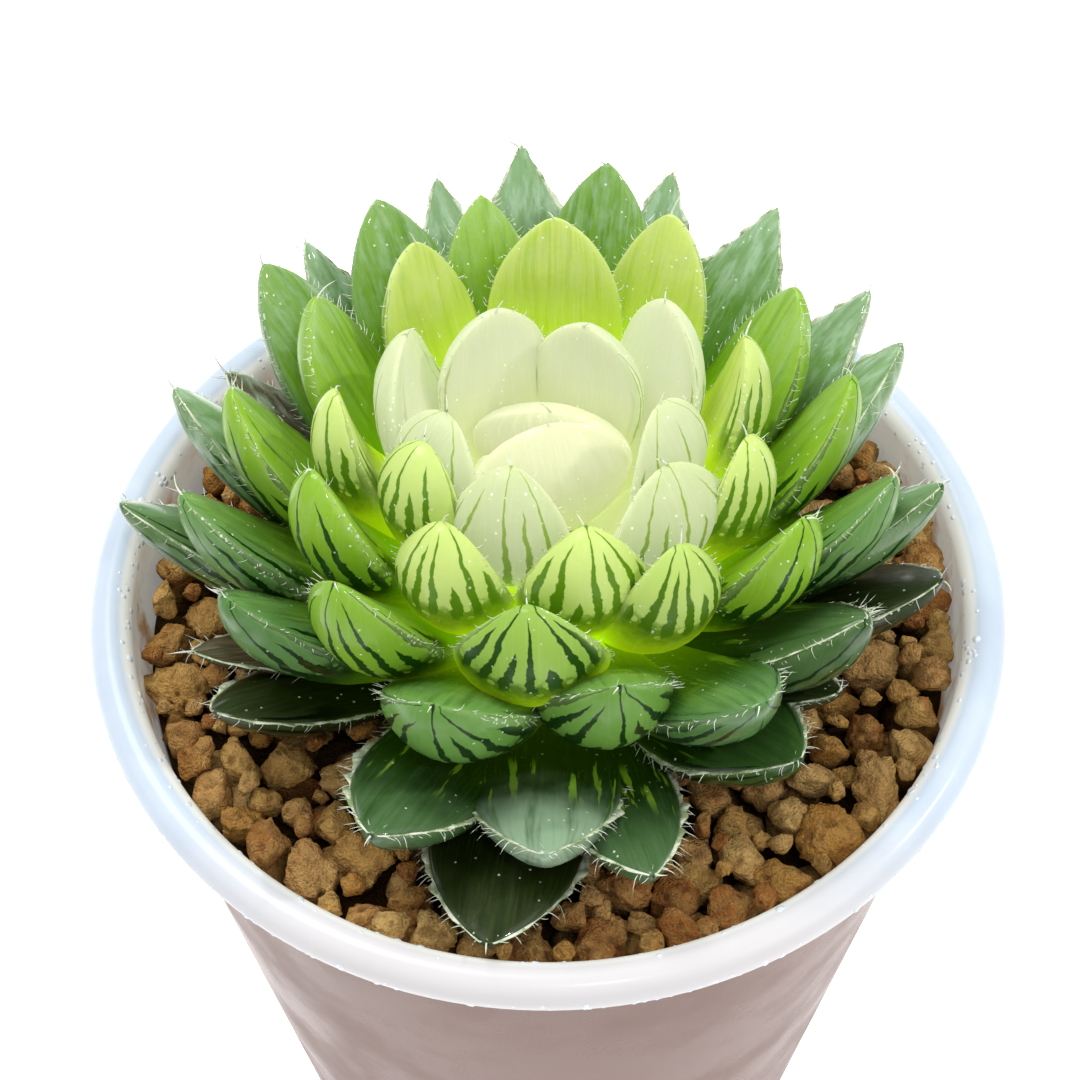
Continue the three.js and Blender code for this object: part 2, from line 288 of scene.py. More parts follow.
class Leaf:
    """The curve and the outline of one leaf, by the same rules as its solid."""

    def __init__(self, kind, row):
        self.kind = kind
        self.azimuth, self.reach, self.rise, self.width, self.thickness = row
        self.form = KINDS[kind]
        turn = math.radians(self.azimuth)
        self.side = outward(self.azimuth + 90)
        self.front = clamp(0.5 - 0.5 * math.sin(turn))
        self.flat = smoothstep(0.8, 0.9, self.front) * smoothstep(26, 28.5, self.reach)
        self.sideways = abs(math.cos(turn)) * smoothstep(0.1, 0.45, self.front)
        self.controls = self.curve(outward(self.azimuth))
        # Tone runs from the front of the rosette, 0, to its back, 1, and drops for leaves farther out at the
        # front. It picks each kind's front or back colours, so it also carries the painted shade of the front
        # leaves.
        farther = (self.reach - self.form["middle"]) * self.front
        light = math.sin(turn) * self.reach / FARTHEST_REACH
        self.tone = clamp(0.5 + 0.5 * light - 0.03 * farther)

    def curve(self, out):
        """The four control points from the foot, on the stem or on its top, to the tip."""
        on_top = self.reach < NEAREST_REACH
        clearance = -ROOTED_BY if self.kind == "withered" else 2 * GAP
        far = clamp((self.reach - NEAREST_REACH) / (FARTHEST_REACH - NEAREST_REACH))
        if on_top:
            foot_z = STEM_TOP + GAP
            foot_radius = TOP_SPREAD * self.reach
        else:
            foot_z = lerp(STEM_TOP - FOOT_BELOW_TOP, SOIL_TOP + FOOT_ABOVE_SOIL, far ** 1.3)
            stem_share = (foot_z - SOIL_TOP) / (STEM_TOP - SOIL_TOP)
            foot_radius = lerp(STEM_RADIUS, STEM_TOP_RADIUS, stem_share) + clearance
        foot = out * foot_radius + Vector((0, 0, foot_z))
        tip = out * self.reach + Vector((0, 0, RIM_Z + self.rise + self.form["point"]))
        slope = math.atan2(tip.z - foot.z, self.reach - foot_radius)
        curl = math.radians(FAR_CURL + NEAR_CURL * (1 - far ** 2)) * min(1, self.reach / NEAREST_REACH)
        foot_slope = slope * (FOOT_SLOPE - FOOT_FLATTER * far)
        pull = PULL * (tip - foot).length
        steep = min(1, self.reach / NEAREST_REACH) * (1 - smoothstep(28.5, 31, self.reach))
        lean_front = lerp(LEAN_FRONT, LEAN_FAR_FRONT, smoothstep(19, 24, self.reach))
        lean_here = lerp(lerp(LEAN_BACK, lean_front, self.front), LEAN_FLAT, self.flat)
        lean = LIGHTWARD * (lean_here * steep)
        return (
            foot,
            foot + self.heading(out, foot_slope) * pull,
            tip - (self.heading(out, slope + curl) + lean).normalized() * (pull * lerp(1, 1.15, self.front)),
            tip,
        )

    @staticmethod
    def heading(out, angle):
        return out * math.cos(angle) + Vector((0, 0, math.sin(angle)))

    def point(self, t):
        a, b, c, d = self.controls
        s = 1 - t
        return a * s ** 3 + b * (3 * s * s * t) + c * (3 * s * t * t) + d * t ** 3

    def tangent(self, t):
        a, b, c, d = self.controls
        s = 1 - t
        return ((b - a) * (s * s) + (c - b) * (2 * s * t) + (d - c) * (t * t)).normalized()

    def inner_face(self, t):
        """The normal of the leaf's inner face: the leaf rolls over a little towards the light."""
        along = self.tangent(t)
        roll = ROLL_OVER * lerp(0.4, 1, self.front) + SIDE_ROLL * self.sideways
        roll *= (1 - 0.8 * self.flat) * smoothstep(0.1, 0.8, t)
        plain = along.cross(self.side).normalized() + LIGHTWARD * roll
        return (plain - along * plain.dot(along)).normalized()

    def across(self, t):
        return self.inner_face(t).cross(self.tangent(t)).normalized()

    def half_width(self, t):
        if t < WIDEST_AT:
            share = lerp(0.3, 1, math.sin(math.pi / 2 * t / WIDEST_AT))
        else:
            past = (t - WIDEST_AT) / (1 - WIDEST_AT)
            shoulder = self.form["shoulder"] - BLUNT_SIDES * self.sideways
            share = (1 - past ** self.form["taper"]) ** shoulder
            if self.kind == "outer":
                share *= 1 - 0.45 * self.tone * smoothstep(0.3, 0.9, past) * (1 - 0.4 * past)
        return share * self.width / 2 * BROADER

    def depth(self, t):
        if t < WIDEST_AT:
            share = lerp(0.2, 1, math.sin(math.pi / 2 * t / WIDEST_AT) ** 1.5)
        else:
            share = (1 - ((t - WIDEST_AT) / (1 - WIDEST_AT)) ** 2.4) ** 0.7
        return share * self.thickness

    def surface(self, t, angle):
        """A point of the skin: angle 0 and 180 are the margins, 90 the inner face and 270 the keel."""
        wide = math.cos(angle)
        high = math.sin(angle)
        across = math.copysign(abs(wide) ** SECTION, wide) * self.half_width(t)
        swell = self.form["bulge"] if high > 0 else KEEL_DEPTH
        up = math.copysign(abs(high) ** SECTION, high) * self.depth(t) * swell
        return self.point(t) + self.across(t) * across + self.inner_face(t) * up


def leaf_body(shape, leaf, wrinkle=0.07):
    """The skin of a leaf. Its place is kept as side to side, foot to tip, and keel to inner face."""
    rings = []
    for i in range(LEAF_RINGS):
        t = 1 - (1 - i / LEAF_RINGS) ** 1.25
        ring = []
        for k in range(LEAF_SIDES):
            angle = 2 * math.pi * k / LEAF_SIDES
            point = leaf.surface(t, angle)
            bump = noise.noise(point * 0.45) + 0.4 * noise.noise(point * 1.3)
            inward = (leaf.point(t) - point).normalized() if i else Vector()
            point += inward * (wrinkle * bump * smoothstep(0, 0.3, t))
            across = 1 - 2 * (k % (LEAF_SIDES // 2)) / (LEAF_SIDES // 2)
            across = across if k < LEAF_SIDES // 2 else -across
            place = (across, t, math.sin(angle))
            ring.append(shape.add(point, place, (leaf.half_width(t), leaf.tone, leaf.azimuth)))
        rings.append(ring)
    build = (0, leaf.tone, leaf.azimuth)
    foot = shape.add(leaf.point(0), (0, 0, -1), build)
    tip = shape.add(leaf.point(1), (0, 1, -1), build)
    for low, high in zip(rings, rings[1:]):
        shape.join_rings(low, high)
    shape.cap(list(reversed(rings[0])), foot)
    shape.cap(rings[-1], tip)


def margin_hairs(shape, leaf, chance):
    """Small curved hairs that stand out from both margins."""
    span = (leaf.point(1) - leaf.point(0.4)).length
    count = max(4, round(span / leaf.form["spacing"]))
    for row in (0, math.pi):
        for i in range(count):
            t = lerp(0.42, 0.99, (i + chance.uniform(0.05, 0.95)) / count)
            root = leaf.surface(t, row + chance.uniform(-0.12, 0.12))
            away = (root - leaf.point(t)).normalized()
            size = leaf.form["hair"] * chance.uniform(0.45, 1.3)
            lean = leaf.tangent(t) * chance.uniform(0.2, 1.1) + leaf.inner_face(t) * chance.uniform(-0.5, 0.5)
            first = (away + lean).normalized()
            bend = leaf.tangent(t) * chance.uniform(-0.2, 1.3)
            bend += leaf.inner_face(t) * chance.uniform(-0.8, 0.9)
            points = [root - away * 0.1]
            for step in (0.35, 0.7, 1.0):
                points.append(root + first * (size * step) + bend * (size * step * step * 0.6))
            thick = HAIR_RADIUS * chance.uniform(0.8, 1.3)
            tapered_strand(shape, points, (thick, thick * 0.75, thick * 0.5), 3)


def tip_hairs(shape, leaf, chance):
    """The bristle at the tip and, on older leaves, a tangle of shorter ones round it."""
    for k in range(leaf.form["tangle"]):
        size = leaf.form["curl"] * chance.uniform(0.6, 1.2) * (1 if k == 0 else 0.6)
        spread = leaf.across(0.99) * chance.uniform(-1, 1) + leaf.inner_face(0.99) * chance.uniform(-1, 0.6)
        heading = (leaf.tangent(1) + spread * (0.25 if k == 0 else 1)).normalized()
        turn = Vector((chance.uniform(-1, 1), chance.uniform(-1, 1), chance.uniform(-0.3, 0.8))).normalized()
        points = [leaf.point(0.985 if k == 0 else chance.uniform(0.96, 0.985))]
        for _ in range(BRISTLE_STEPS):
            heading = (heading + turn * chance.uniform(0.1, 0.5)).normalized()
            points.append(points[-1] + heading * (size / BRISTLE_STEPS))
        base = BRISTLE_RADIUS if k == 0 else HAIR_RADIUS
        radii = [base * (1 - i / BRISTLE_STEPS) ** 0.8 for i in range(BRISTLE_STEPS)]
        tapered_strand(shape, points, radii, 4)


def papery_hem(shape, leaf, chance):
    """A thin ragged blade of dry skin along each margin of the older leaves."""
    for row in (0, math.pi):
        shift = chance.uniform(0, 50)
        rings = []
        for i in range(HEM_STEPS + 1):
            t = lerp(0.5, 0.992, i / HEM_STEPS)
            edge = leaf.surface(t, row)
            away = (edge - leaf.point(t)).normalized()
            face = leaf.inner_face(t)
            swell = clamp(0.75 + 1.5 * noise.noise(Vector((shift, 7, i * 0.3))), 0.15, 1.6)
            wide = leaf.form["hem"] * swell * math.sin(math.pi * (i + 0.5) / (HEM_STEPS + 2)) ** 0.6
            curl = face * (0.5 * wide * noise.noise(Vector((shift, i * 0.25, 0))) + 0.25 * wide)
            tip = edge + away * wide + curl
            root = edge - away * 0.2
            corners = (root - face * 0.1, tip - face * 0.03, tip + face * 0.03, root + face * 0.1)
            rings.append([shape.add(corner, (0, i / HEM_STEPS, 0)) for corner in corners])
        for low, high in zip(rings, rings[1:]):
            shape.join_rings(low, high, PAPER)
        shape.face(reversed(rings[0]), PAPER)
        shape.face(rings[-1], PAPER)


def leaf_details(shape, leaf, chance):
    margin_hairs(shape, leaf, chance)
    tip_hairs(shape, leaf, chance)
    if leaf.form["hem"] > 0:
        papery_hem(shape, leaf, chance)


def make_leaves(skins, hair, paper):
    chance = random.Random(LEAF_SEED)
    for kind, rows in LEAVES.items():
        for i, row in enumerate(rows, 1):
            shape = Shape()
            leaf = Leaf(kind, row)
            leaf_body(shape, leaf)
            leaf_details(shape, leaf, chance)
            node = f"{kind}_leaf_{i}"
            skin = skins["far green" if kind == "green" and leaf.reach > FAR_GREEN else kind]
            shape.piece(f"fine_{node}", f"{kind}_leaf", skin, hair, paper, replaces=[node])


def make_bud(skin, hair):
    chance = random.Random(BUD_SEED)
    shape = Shape()
    for row in BUD_LEAVES:
        leaf = Leaf("bud", row)
        leaf_body(shape, leaf)
        tip_hairs(shape, leaf, chance)
    shape.piece("fine_bud", "bud", skin, hair, replaces=["bud"])


def make_stem(skin, hair, paper, bark):
    """The stem down to its root crown, and the withered leaves that still hang on it."""
    chance = random.Random(WITHERED_SEED)
    shape = Shape()
    for row in WITHERED_LEAVES:
        leaf = Leaf("withered", row)
        leaf_body(shape, leaf, wrinkle=0.45)
        leaf_details(shape, leaf, chance)
    profile = [
        (0, SOIL_TOP - CROWN_DEPTH), (CROWN_TIP_RADIUS, SOIL_TOP - CROWN_DEPTH),
        (STEM_RADIUS, SOIL_TOP - STEM_RADIUS), (STEM_RADIUS, SOIL_TOP),
        (STEM_TOP_RADIUS, STEM_TOP), (0, STEM_TOP),
    ]
    turned(shape, profile, STEM_SIDES, BARK)
    shape.piece("stem_and_withered_leaves", "stem", skin, hair, paper, bark, replaces=["stem"])


# Turned shapes and the pot

RIM_DROPS = 420
POT_SIDES = 192
FILLING_SIDES = 96
STEM_SIDES = 48
DRAIN_SIDES = 24
BALLS = {}


def turned(shape, profile, sides, finish=0):
    """A solid of revolution from a profile of radius and height that starts and ends on the axis."""
    rings = []
    for radius, height in profile:
        if radius == 0:
            rings.append([shape.add((0, 0, height))])
            continue
        ring = []
        for k in range(sides):
            angle = 2 * math.pi * k / sides
            ring.append(shape.add((radius * math.cos(angle), radius * math.sin(angle), height)))
        rings.append(ring)
    for low, high in zip(rings, rings[1:]):
        if len(low) == 1:
            shape.cap(list(reversed(high)), low[0], finish)
        elif len(high) == 1:
            shape.cap(low, high[0], finish)
        else:
            shape.join_rings(low, high, finish)


def wall_outer(z):
    return lerp(FOOT_RADIUS, RIM_RADIUS - BEAD_WIDTH + WALL, z / WALL_TOP)


def wall_inner(z):
    return wall_outer(z) - WALL


def bead(turn):
    """Radius and height on the rolled rim: turn is 0 at its outermost and a quarter turn at its top."""
    radius = RIM_RADIUS - BEAD_WIDTH / 2 * (1 - math.cos(turn))
    return radius, RIM_Z - BEAD_HEIGHT / 2 * (1 - math.sin(turn))


def stepped(low, high, count):
    return [lerp(low, high, i / count) for i in range(count + 1)]


def make_pot(plastic):
    """The thin wall, its rolled rim and the recessed base with drain holes."""
    underside = FLOOR_TOP / 2
    profile = [(0, underside), (FOOT_RADIUS - FOOT_RING - 1, underside), (FOOT_RADIUS - FOOT_RING, 0),
               (FOOT_RADIUS - 0.5, 0)]
    profile += [(wall_outer(z), z) for z in stepped(0.5, WALL_TOP, 16)]
    profile += [bead(math.radians(turn)) for turn in stepped(-45, 180, 24)]
    profile += [(wall_inner(z), z) for z in reversed(stepped(FLOOR_TOP + 1, WALL_TOP - 0.5, 12))]
    profile += [(wall_inner(FLOOR_TOP) - 1, FLOOR_TOP), (0, FLOOR_TOP)]
    shape = Shape()
    turned(shape, profile, POT_SIDES)
    pot = shape.piece("fine_pot", "pot", plastic, replaces=["pot"])
    drill_base(pot)


def drill_base(piece):
    """Cuts the ring of drain holes down through the base."""
    shape = Shape()
    for i in range(DRAIN_HOLES):
        centre = outward(360 * i / DRAIN_HOLES) * DRAIN_CIRCLE
        rings = []
        for z in (-FLOOR_TOP, 3 * FLOOR_TOP):
            rings.append([
                shape.add(centre + outward(360 * k / DRAIN_SIDES) * DRAIN_RADIUS + Vector((0, 0, z)))
                for k in range(DRAIN_SIDES)
            ])
        shape.join_rings(*rings)
        shape.face(reversed(rings[0]))
        shape.face(rings[1])
    tool = put_in_scene("drill", shape.mesh("drill"))
    cut = piece.modifiers.new("drain holes", "BOOLEAN")
    cut.operation = "DIFFERENCE"
    cut.solver = "EXACT"
    cut.object = tool
    bpy.context.view_layer.update()
    result = bpy.data.meshes.new_from_object(piece.evaluated_get(bpy.context.evaluated_depsgraph_get()))
    piece.modifiers.clear()
    piece.data = result
    bpy.data.objects.remove(tool)


def ball(detail):
    """Points and faces of a round ball of radius 1. Each step of detail has four times as many faces."""
    if detail not in BALLS:
        mesh = bmesh.new()
        bmesh.ops.create_icosphere(mesh, subdivisions=detail, radius=1)
        faces = [[vert.index for vert in face.verts] for face in mesh.faces]
        BALLS[detail] = [vert.co.copy() for vert in mesh.verts], faces
        mesh.free()
    return BALLS[detail]


def make_drops(water):
    """Drops of water that cling to the inner and outer edge of the rim."""
    chance = random.Random(DROP_SEED)
    shape = Shape()
    for _ in range(RIM_DROPS):
        angle = chance.uniform(0, 360)
        turn = math.radians(chance.choice((chance.uniform(-25, 10), chance.uniform(112, 175))))
        radius = chance.uniform(0.2, 0.5) * chance.uniform(0.5, 1)
        from_axis, height = bead(turn)
        centre = outward(angle) * from_axis + Vector((0, 0, height))
        away = outward(angle) * math.cos(turn) + Vector((0, 0, math.sin(turn)))
        centre -= away * (0.45 * radius)
        longer = outward(angle + 90) * chance.uniform(0, 0.6)
        points, faces = ball(2)
        start = len(shape.points)
        for point in points:
            point = point * (1 + 0.25 * noise.noise(point + centre))
            shape.add(centre + (point - away * (0.3 * point.dot(away)) + longer * point.dot(longer)) * radius)
        shape.faces_of_ball(start, faces)
    shape.piece("rim_water_drops", "pot", water)


# Clay granules

SURFACE = SOIL_TOP + 2.7
BROKEN_SIDES = 9


def granule_shape(shape, centre, radius, detail, chance):
    """One rough lump: a ball with a few broken sides, hollows and grains."""
    points, faces = ball(detail)
    flats = []
    for _ in range(BROKEN_SIDES):
        normal = Vector((chance.gauss(0, 1), chance.gauss(0, 1), chance.gauss(0, 1))).normalized()
        flats.append((normal, chance.uniform(0.5, 0.8)))
    stretch = Vector((chance.uniform(0.85, 1.3), chance.uniform(0.85, 1.3), chance.uniform(0.85, 1.05)))
    seed = Vector((chance.uniform(0, 90), chance.uniform(0, 90), chance.uniform(0, 90)))
    tint = chance.random()
    start = len(shape.points)
    for point in points:
        point = point.copy()
        for normal, level in flats:
            over = point.dot(normal) - level
            if over > 0:
                point -= normal * (0.9 * over)
        lumps = 0.2 * noise.noise(point * 1.3 + seed) + 0.1 * noise.noise(point * 3.2 + seed)
        hollows = 0.16 * smoothstep(0.2, 0.5, noise.noise(point * 2.6 - seed))
        grains = 0.24 * abs(noise.noise(point * 4.5 + seed)) + 0.1 * noise.noise(point * 10 + seed)
        point *= 1.1 + lumps - hollows - grains
        point = centre + Vector((point.x * stretch.x, point.y * stretch.y, point.z * stretch.z)) * radius
        # Kept for the clay finish: the tint, the depth below the surface and how hollow it is, which set its
        # painted shade
        shape.add(point, (tint, SURFACE - point.z, hollows))
    shape.faces_of_ball(start, faces)


def scatter(chance, tries, low, high, room, inner, taken, spread=0.86):
    """Places granules of random size in a ring, clear of the others. The first tries lie against the wall."""
    placed = []
    for i in range(tries):
        radius = chance.uniform(low, high)
        angle = chance.uniform(0, 2 * math.pi)
        share = 1 if i < tries // 5 else math.sqrt(chance.uniform((inner / room) ** 2, 1))
        away = share * (room - 0.9 * radius - chance.uniform(0, 0.5))
        spot = Vector((away * math.cos(angle), away * math.sin(angle)))
        if all((spot - other).length > spread * (radius + size) for other, size in placed + taken):
            placed.append((spot, radius))
    return placed


def make_soil(clay):
    chance = random.Random(GRANULE_SEED)
    shape = Shape()
    room = wall_inner(SOIL_TOP) - GAP
    bottom = FLOOR_TOP + GAP
    fill = SOIL_TOP - 2.2
    filling = [(0, bottom), (wall_inner(bottom) - GAP - 1, bottom),
               (wall_inner(bottom + 1) - GAP, bottom + 1), (wall_inner(fill) - GAP, fill), (0, fill)]
    turned(shape, filling, FILLING_SIDES)
    # The filling lies deep below the surface, so it takes the darkest painted shade of the gaps
    shape.places[:] = [(0.2, SURFACE - point.z, 0) for point in shape.points]
    large = scatter(chance, 4000, 1.7, 2.6, room, 9, [])
    small = scatter(chance, 6000, 0.8, 1.4, room, 9, large, 0.8)
    for spot, radius in large + small:
        climb = 0.9 * smoothstep(0.8, 1, spot.length / room)
        height = SURFACE - radius + chance.uniform(-1.2, 0.5) + climb
        in_view = spot.length > 17 and spot.y < 8
        under_leaves = spot.length < 15
        detail = 4 if in_view and radius > 2 else 2 if under_leaves else 3
        granule_shape(shape, Vector((spot.x, spot.y, height)), radius, detail, chance)
    for spot, radius in scatter(chance, 1500, 2.0, 3.0, room, 6, []):
        height = SOIL_TOP - 1.7 + chance.uniform(-0.6, 0.6)
        granule_shape(shape, Vector((spot.x, spot.y, height)), radius, 2, chance)
    shape.piece("clay_granules", "soil", clay, replaces=["soil"])


# Finishes

FLOAT = "NodeSocketFloat"
LINE_SPACING = 0.5
NEAREST_AZIMUTH = 267


def feed(tree, socket, value):
    if isinstance(value, bpy.types.NodeSocket):
        tree.links.new(value, socket)
    else:
        socket.default_value = value


def fill_in(tree, node, **values):
    """Feeds the named inputs of a node. An underscore in a name stands for a space."""
    for label, value in values.items():
        feed(tree, node.inputs[label.replace("_", " ")], value)
    return node


def new_node(tree, kind, **values):
    return fill_in(tree, tree.nodes.new(f"ShaderNode{kind}"), **values)


def maths(tree, operation, *values, clamped=False):
    node = new_node(tree, "Math")
    node.operation = operation
    node.use_clamp = clamped
    for socket, value in zip(node.inputs, values):
        feed(tree, socket, value)
    return node.outputs[0]


def plus(tree, first, second):
    return maths(tree, "ADD", first, second)


def minus(tree, first, second):
    return maths(tree, "SUBTRACT", first, second)


def times(tree, first, second):
    return maths(tree, "MULTIPLY", first, second)


def scaled(tree, value, factor, shift):
    return maths(tree, "MULTIPLY_ADD", value, factor, shift)


def larger(tree, first, second):
    return maths(tree, "MAXIMUM", first, second)


def off_zero(tree, value):
    return maths(tree, "ABSOLUTE", value)


def mapped(tree, value, low, high, to_low=0.0, to_high=1.0):
    """Passes smoothly from one value to another while the given value passes from low to high."""
    node = new_node(tree, "MapRange", Value=value, From_Min=low, From_Max=high, To_Min=to_low,
                    To_Max=to_high)
    node.interpolation_type = "SMOOTHSTEP"
    return node.outputs[0]


def mixed(tree, share, first, second):
    node = new_node(tree, "Mix")
    node.data_type = "RGBA"
    fill_in(tree, node, Factor=share, A=first, B=second)
    return next(out for out in node.outputs if out.type == "RGBA")


def attribute(tree, name):
    node = new_node(tree, "Attribute")
    node.attribute_name = name
    return node.outputs["Vector"]


def parts_of(tree, vector):
    return new_node(tree, "SeparateXYZ", Vector=vector).outputs


def together(tree, x, y, z):
    return new_node(tree, "CombineXYZ", X=x, Y=y, Z=z).outputs[0]


def noise_at(tree, vector, scale, detail=2.0, roughness=0.5):
    node = new_node(tree, "TexNoise", Vector=vector, Scale=scale, Detail=detail, Roughness=roughness)
    return node.outputs["Fac"]


def cells_at(tree, vector, scale):
    return new_node(tree, "TexVoronoi", Vector=vector, Scale=scale).outputs["Distance"]


def position(tree):
    return new_node(tree, "TexCoord").outputs["Object"]


def raised(tree, shader, height, strength, distance):
    bump = new_node(tree, "Bump", Height=height, Strength=strength, Distance=distance)
    feed(tree, shader.inputs["Normal"], bump.outputs[0])


def rgb(red, green, blue):
    """A colour as it looks on screen, from 0 to 255, as the linear values that a socket takes."""
    def linear(value):
        share = value / 255
        return share / 12.92 if share <= 0.04045 else ((share + 0.055) / 1.055) ** 2.4
    return (linear(red), linear(green), linear(blue), 1)


FLAME = rgb(128, 172, 40)
FROST = rgb(170, 198, 168)
DROP_HIGHLIGHT = rgb(236, 246, 226)
BLACK = rgb(0, 0, 0)


def new_material(name, **values):
    material = bpy.data.materials.new(name)
    material.use_nodes = True
    tree = material.node_tree
    return material, tree, fill_in(tree, tree.nodes["Principled BSDF"], **values)


def new_group(name, **numbers):
    """A node group with a named input for each number, which holds unless a material gives its own."""
    group = bpy.data.node_groups.new(name, "ShaderNodeTree")
    for label, number in numbers.items():
        socket = group.interface.new_socket(label.replace("_", " "), in_out="INPUT", socket_type=FLOAT)
        socket.default_value = number
    return group, group.nodes.new("NodeGroupInput").outputs


def put_out(group, results):
    """Gives the group a named output for each result."""
    for label in results:
        group.interface.new_socket(label, in_out="OUTPUT", socket_type=FLOAT)
    end = group.nodes.new("NodeGroupOutput")
    for label, value in results.items():
        group.links.new(value, end.inputs[label])


def place_group(tree, group, **values):
    node = new_node(tree, "Group")
    node.node_tree = group
    return fill_in(tree, node, **values).outputs


def window_group():
    """What shows on every leaf: the clear window near its tip, dark lines, marks, frost, and pale specks that
    paint the highlights of small drops.
    """
    tree, given = new_group("leaf windows", Window_Length=0.3, Line_Width=0.2, Band=0.9)
    across, along, face = parts_of(tree, attribute(tree, "place"))
    half_width, tone, azimuth = parts_of(tree, attribute(tree, "build"))
    spot = position(tree)
    wander = noise_at(tree, spot, 260, 2.0)
    fine = noise_at(tree, spot, 1400, 3.0, 0.6)
    own = times(tree, azimuth, 0.37)
    side = times(tree, across, half_width)

    # Depth is 0 at the tip and 1 where the window ends. Windows are shorter at the front of the rosette.
    length = times(tree, given["Window Length"], mapped(tree, tone, 0.15, 0.55, 0.78, 1.0))
    depth = maths(tree, "DIVIDE", minus(tree, 1.0, along), length)
    ragged = plus(tree, depth, scaled(tree, fine, 0.3, -0.15))
    ragged = plus(tree, ragged, scaled(tree, wander, 0.3, -0.15))
    islands = mapped(tree, cells_at(tree, spot, 1050), 0.38, 0.3)
    islands = times(tree, islands, mapped(tree, ragged, 1.04, 1.2, 1.0, 0.0))
    window = larger(tree, mapped(tree, ragged, 0.9, 1.08, 1.0, 0.0), islands)

    # Lines grow wider down the leaf. Long ones start at the tip and short ones between them.
    width = times(tree, given["Line Width"], mapped(tree, depth, 0.0, 1.1, 0.25, 2.1))
    width = times(tree, width, mapped(tree, tone, 0.15, 0.4, 1.3, 1.1))
    width = times(tree, width, scaled(tree, fine, 1.9, 0.1))
    bent = plus(tree, across, scaled(tree, wander, 0.26, -0.13))
    bent = plus(tree, bent, times(tree, maths(tree, "SINE", own), 0.07))

    def row_of_lines(offset, start, spread):
        place = plus(tree, maths(tree, "DIVIDE", bent, LINE_SPACING), offset)
        off = off_zero(tree, minus(tree, maths(tree, "FRACT", place), 0.5))
        off = times(tree, times(tree, off, LINE_SPACING * 1.35), half_width)
        order = times(tree, maths(tree, "FLOOR", place), 2.4)
        chance = maths(tree, "SINE", plus(tree, order, times(tree, own, 3.1)))
        begins = scaled(tree, chance, spread * 0.5, start)
        begins = plus(tree, begins, mapped(tree, tone, 0.45, 0.75, 0.0, 0.3))
        grown = times(tree, width, mapped(tree, minus(tree, depth, begins), 0.0, 0.2))
        line = mapped(tree, minus(tree, off, grown), -0.05, 0.035, 1.0, 0.0)
        return times(tree, line, mapped(tree, grown, 0.01, 0.04))

    lines = larger(tree, row_of_lines(0.5, -0.1, 0.35), row_of_lines(0.0, 0.42, 0.6))
    lines = times(tree, lines, mapped(tree, ragged, 1.0, 1.4, 1.0, 0.0))

    # At the end of the window they run together into a band with clear islands. All of it is on the outer
    # face, which reaches over the margin on the leaves at the sides.
    band = times(tree, mapped(tree, ragged, 0.84, 1.0), minus(tree, 1.0, islands))
    band = times(tree, band, mapped(tree, ragged, 1.05, 1.5, given["Band"], 0.0))
    sideways = off_zero(tree, maths(tree, "COSINE", times(tree, azimuth, math.pi / 180)))
    over = times(tree, sideways, mapped(tree, tone, 0.55, 0.8, 0.6, 0.0))
    inside = mapped(tree, minus(tree, face, over), -0.05, 0.35)
    lines = times(tree, larger(tree, lines, band), minus(tree, 1.0, inside))

    def strokes(crosswise, lengthwise, scale, low, high):
        where = together(tree, times(tree, side, crosswise), times(tree, along, lengthwise), own)
        return mapped(tree, noise_at(tree, where, scale, 4.0, 0.6), low, high)

    # Marks of the inner face: shade down its middle, and pale flames in a belt below the tip
    middle = mapped(tree, off_zero(tree, across), 0.45, 0.85, 1.0, 0.0)
    shade = times(tree, strokes(1.6, 2.2, 1.2, 0.42, 0.66), middle)
    belt = times(tree, mapped(tree, along, 0.54, 0.62), mapped(tree, along, 0.7, 0.82, 1.0, 0.0))
    flames = times(tree, strokes(0.8, 2.0, 1.3, 0.575, 0.61), belt)
    tip = mapped(tree, plus(tree, along, scaled(tree, wander, 0.24, -0.12)), 0.74, 0.92)

    # Frost on the tips at the back of the rosette, and haze on its nearest leaf
    frost = times(tree, strokes(1.4, 11.0, 1.1, 0.42, 0.66), mapped(tree, along, 0.6, 0.92))
    frost = times(tree, frost, mapped(tree, tone, 0.4, 0.7))
    nearest = mapped(tree, off_zero(tree, minus(tree, azimuth, NEAREST_AZIMUTH)), 3, 15, 1.0, 0.15)
    haze = times(tree, nearest, mapped(tree, scaled(tree, wander, 0.3, along), 0.78, 1.1))
    haze = times(tree, haze, strokes(1.2, 2.5, 1.1, 0.2, 0.55))
    haze = times(tree, haze, mapped(tree, tone, 0.0, 0.2, 0.9, 0.0))

    # Small drops in patches, most of them along the margin, painted as pale specks: a painted highlight of
    # wet drops
    from_margin = off_zero(tree, face)
    beads = mapped(tree, cells_at(tree, spot, 2100), 0.34, 0.22)
    beads = times(tree, beads, mapped(tree, from_margin, 0.08, 0.2, 1.0, 0.0))
    drops = larger(tree, beads, mapped(tree, cells_at(tree, spot, 1100), 0.15, 0.09))
    drops = times(tree, drops, mapped(tree, noise_at(tree, spot, 230), 0.5, 0.58))

    put_out(tree, {
        "Window": window, "Lines": lines, "Inner Face": inside, "Tip": tip, "Shade": shade,
        "Streaks": strokes(4.5, 5.0, 1.3, 0.5, 0.68), "Flames": flames, "Specks": drops,
        "Edge": mapped(tree, from_margin, 0.0, 0.34, 1.0, 0.0), "Frost": larger(tree, frost, haze),
        "Patch": wander, "Tone": tone, "Along": along, "Skin": fine,
    })
    return tree


# Colours and shares of each kind of leaf. A pair of colours is for the front and the back of the rosette:
# the darker front colours are partly the leaves' own and partly painted shade, as the light falls from
# behind.

PLAIN = dict(
    roughness=0.36, subsurface=0.0, wet=0.3, window_length=0.3, line_width=0.2, turn=(0.0, 1.0),
    foot_ends=(0.12, 0.6), band=0.9, line_strength=1.0, streaks=0.3, shade=0.5, flames=0.0, edge=0.35,
    frost=0.0, specks=0.7, painted_glow=0.0, glow_ends=(0.25, 0.78), tip_glow=(0, 0, 0))


def both(*colour):
    return colour, colour


